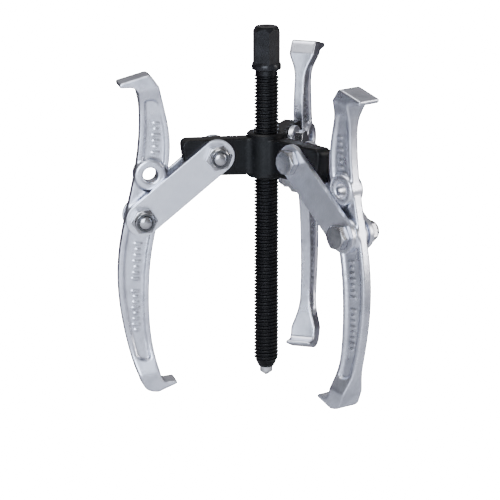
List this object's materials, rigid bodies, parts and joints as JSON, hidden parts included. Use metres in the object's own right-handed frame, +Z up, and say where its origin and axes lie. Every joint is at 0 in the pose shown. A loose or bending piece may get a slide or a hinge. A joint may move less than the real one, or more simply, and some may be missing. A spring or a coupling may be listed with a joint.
{
  "type": "gear puller",
  "caption": "Three-jaw gear puller: black yoke and forcing screw, with reversible plated jaws hung on pairs of pivoting straps.",
  "frame": {"origin": "tip of the centre point, on the axis of the forcing screw", "axes": "+Z up the forcing screw towards its hex, -X towards the left jaw"},
  "size_m": [0.1369, 0.1551, 0.2066],
  "materials": {
    "blackened_steel": "satin black",
    "bright_steel": "ground",
    "plated_jaws": "satin plated forging",
    "plated_straps": "satin plated bar",
    "plated_fasteners": "bright plated",
    "nylon": "dark nylon"
  },
  "bodies": {
    "yoke": {"yoke": "blackened_steel"},
    "centre_point": {"centre_point": "bright_steel", "thrust_ball": "bright_steel"},
    "forcing_screw": {"forcing_screw": "blackened_steel"},
    "left_straps": {"left_strap_nut_side": "plated_straps", "left_strap_head_side": "plated_straps", "left_yoke_bolt": "plated_fasteners", "left_yoke_nut": "plated_fasteners", "left_yoke_nut_insert": "nylon", "left_jaw_bolt": "plated_fasteners", "left_jaw_nut": "plated_fasteners", "left_jaw_nut_insert": "nylon"},
    "left_jaw": {"left_jaw": "plated_jaws"},
    "right_straps": {"right_strap_nut_side": "plated_straps", "right_strap_head_side": "plated_straps", "right_yoke_bolt": "plated_fasteners", "right_yoke_nut": "plated_fasteners", "right_yoke_nut_insert": "nylon", "right_jaw_bolt": "plated_fasteners", "right_jaw_nut": "plated_fasteners", "right_jaw_nut_insert": "nylon"},
    "right_jaw": {"right_jaw": "plated_jaws"},
    "rear_straps": {"rear_strap_nut_side": "plated_straps", "rear_strap_head_side": "plated_straps", "rear_yoke_bolt": "plated_fasteners", "rear_yoke_nut": "plated_fasteners", "rear_yoke_nut_insert": "nylon", "rear_jaw_bolt": "plated_fasteners", "rear_jaw_nut": "plated_fasteners", "rear_jaw_nut_insert": "nylon"},
    "rear_jaw": {"rear_jaw": "plated_jaws"}
  },
  "joints": [
    {"name": "screw_travel", "type": "slide", "parent": "yoke", "child": "centre_point", "axis": [0, 0, 1], "range_m": [-0.035, 0.09]},
    {"name": "screw_spin", "type": "hinge", "parent": "centre_point", "child": "forcing_screw", "pos_m": [0, 0, 0], "axis": [0, 0, 1], "range_deg": [-6300, 16200]},
    {"name": "left_strap_lift", "type": "hinge", "parent": "yoke", "child": "left_straps", "pos_m": [-0.0291, 0, 0.1293], "axis": [0, 1, 0], "range_deg": [-8, 45]},
    {"name": "left_jaw_spread", "type": "hinge", "parent": "left_straps", "child": "left_jaw", "pos_m": [-0.07145, 0, 0.095], "axis": [0, 1, 0], "range_deg": [-16, 8]},
    {"name": "right_strap_lift", "type": "hinge", "parent": "yoke", "child": "right_straps", "pos_m": [0.01455, -0.0252, 0.1293], "axis": [-0.866, -0.5, 0], "range_deg": [-8, 45]},
    {"name": "right_jaw_spread", "type": "hinge", "parent": "right_straps", "child": "right_jaw", "pos_m": [0.03542, -0.06136, 0.09427], "axis": [-0.866, -0.5, 0], "range_deg": [-16, 8]},
    {"name": "rear_strap_lift", "type": "hinge", "parent": "yoke", "child": "rear_straps", "pos_m": [0.01455, 0.0252, 0.1293], "axis": [0.866, -0.5, 0], "range_deg": [-8, 45]},
    {"name": "rear_jaw_spread", "type": "hinge", "parent": "rear_straps", "child": "rear_jaw", "pos_m": [0.03719, 0.06442, 0.09898], "axis": [0.866, -0.5, 0], "range_deg": [-16, 11]}
  ],
  "couplings": [
    {"joint": "screw_spin", "follows": "screw_travel", "rad_per_m": 3141.6}
  ]
}
